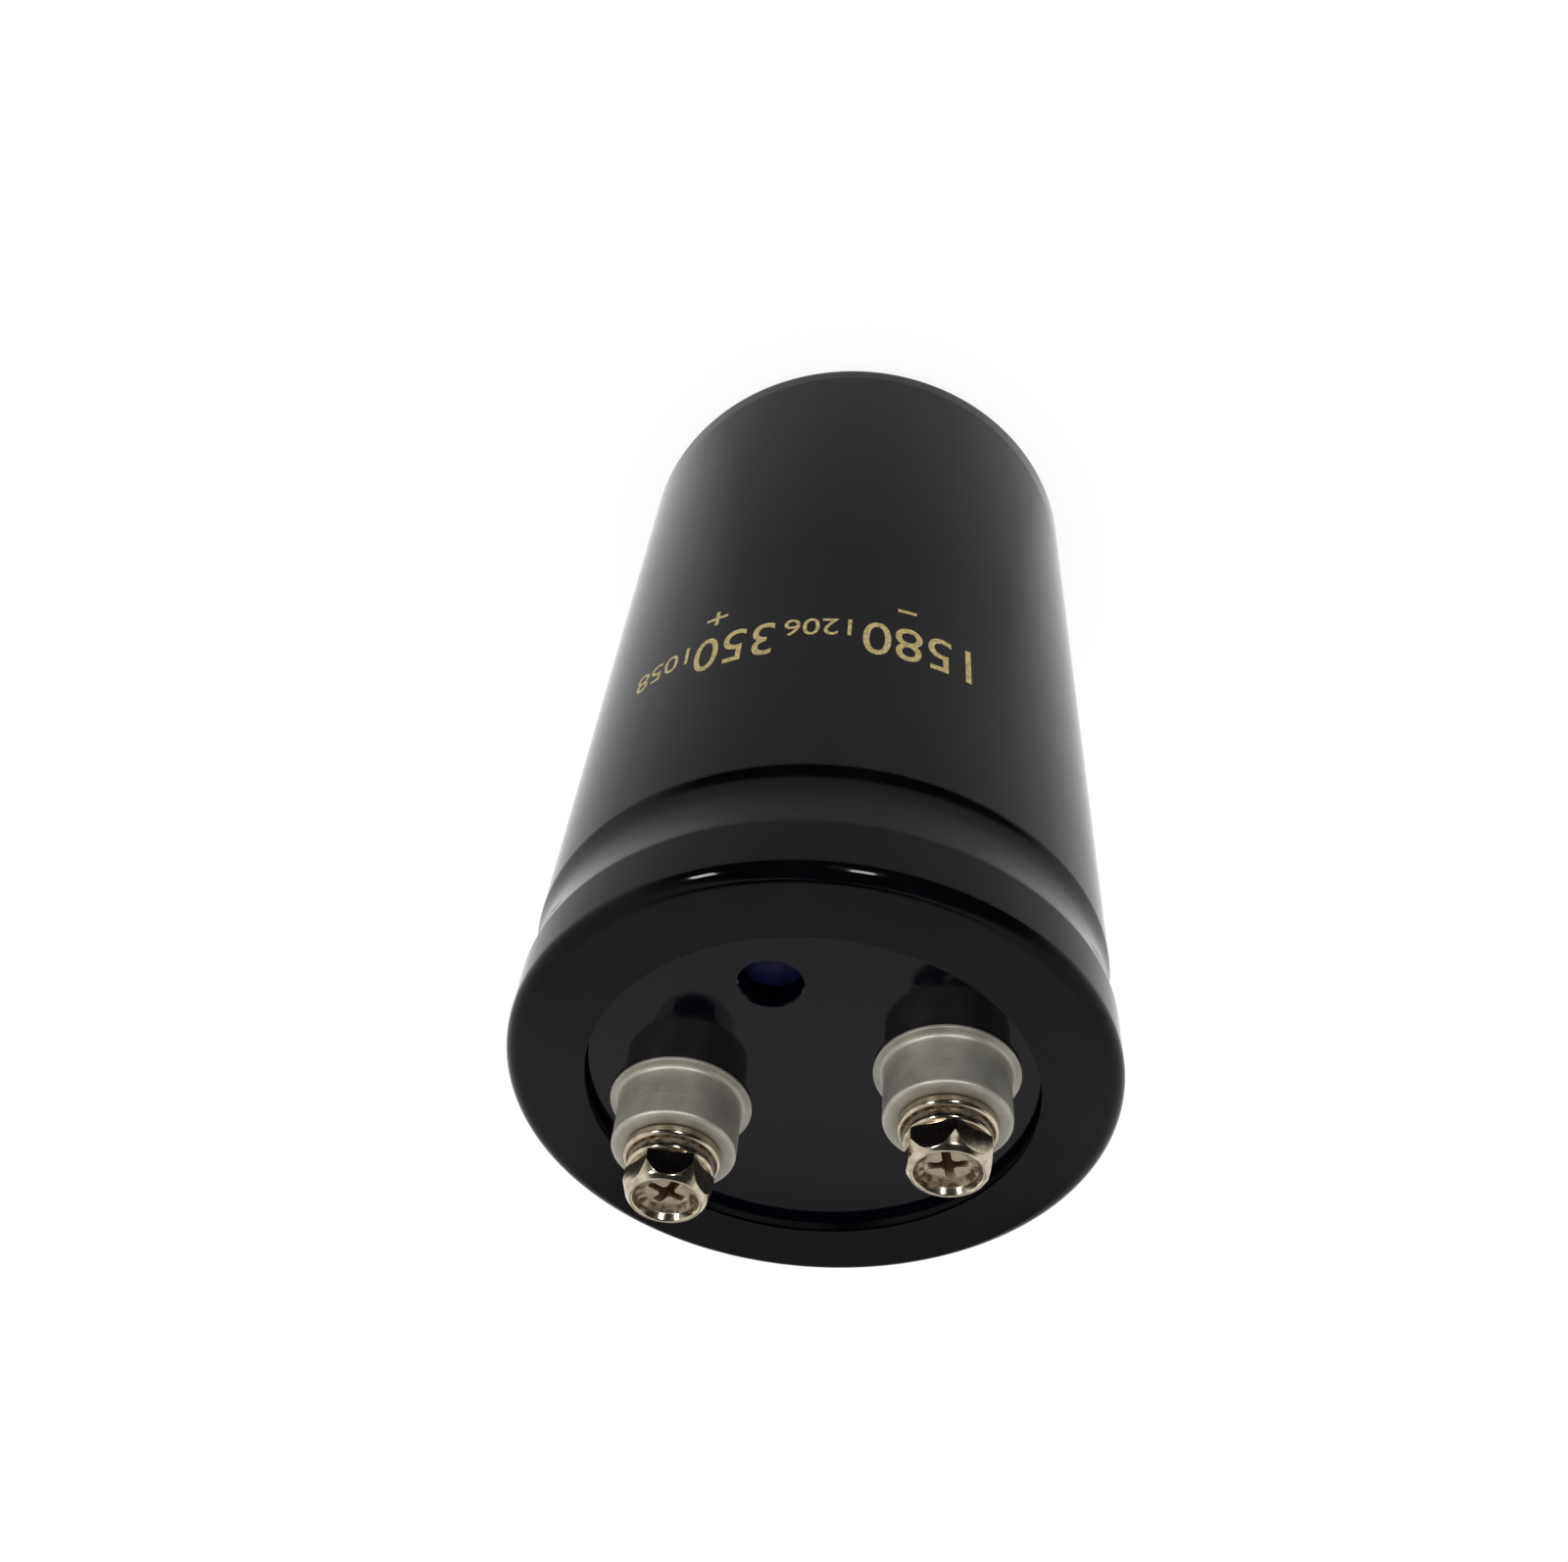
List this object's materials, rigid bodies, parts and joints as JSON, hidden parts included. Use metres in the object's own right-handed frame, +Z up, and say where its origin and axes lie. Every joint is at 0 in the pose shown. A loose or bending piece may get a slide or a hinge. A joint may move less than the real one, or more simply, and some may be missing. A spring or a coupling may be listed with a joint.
{
  "type": "electrolytic capacitor",
  "caption": "Large aluminium electrolytic capacitor: sleeved round can, recessed deck with a vent plug and screw terminals that have flanged collars, washers and hexagon screws.",
  "frame": {"origin": "middle of the base, on the surface that the can stands on", "axes": "+Z up the can's axis to the terminals, +X to the positive terminal, -Y to the vent"},
  "size_m": [0.064, 0.064, 0.1194],
  "materials": {
    "can_metal": "drawn aluminium, dull",
    "sleeve_plastic": "heat-shrunk vinyl sleeve, glossy black",
    "deck_plastic": "moulded phenolic, semi-gloss black",
    "seal_rubber": "moulded rubber, matt black",
    "plug_rubber": "moulded rubber, blue-black",
    "terminal_metal": "turned aluminium, satin",
    "plated_steel": "nickel plate, bright"
  },
  "bodies": {
    "root": {"can": "can_metal", "sleeve": "sleeve_plastic", "deck": "deck_plastic", "seal_ring": "seal_rubber", "vent_plug": "plug_rubber", "terminal_positive": "terminal_metal", "terminal_negative": "terminal_metal", "flat_washer_positive": "plated_steel", "flat_washer_negative": "plated_steel", "spring_washer_positive": "plated_steel", "spring_washer_negative": "plated_steel", "terminal_screw_positive": "plated_steel", "terminal_screw_negative": "plated_steel"}
  },
  "joints": []
}
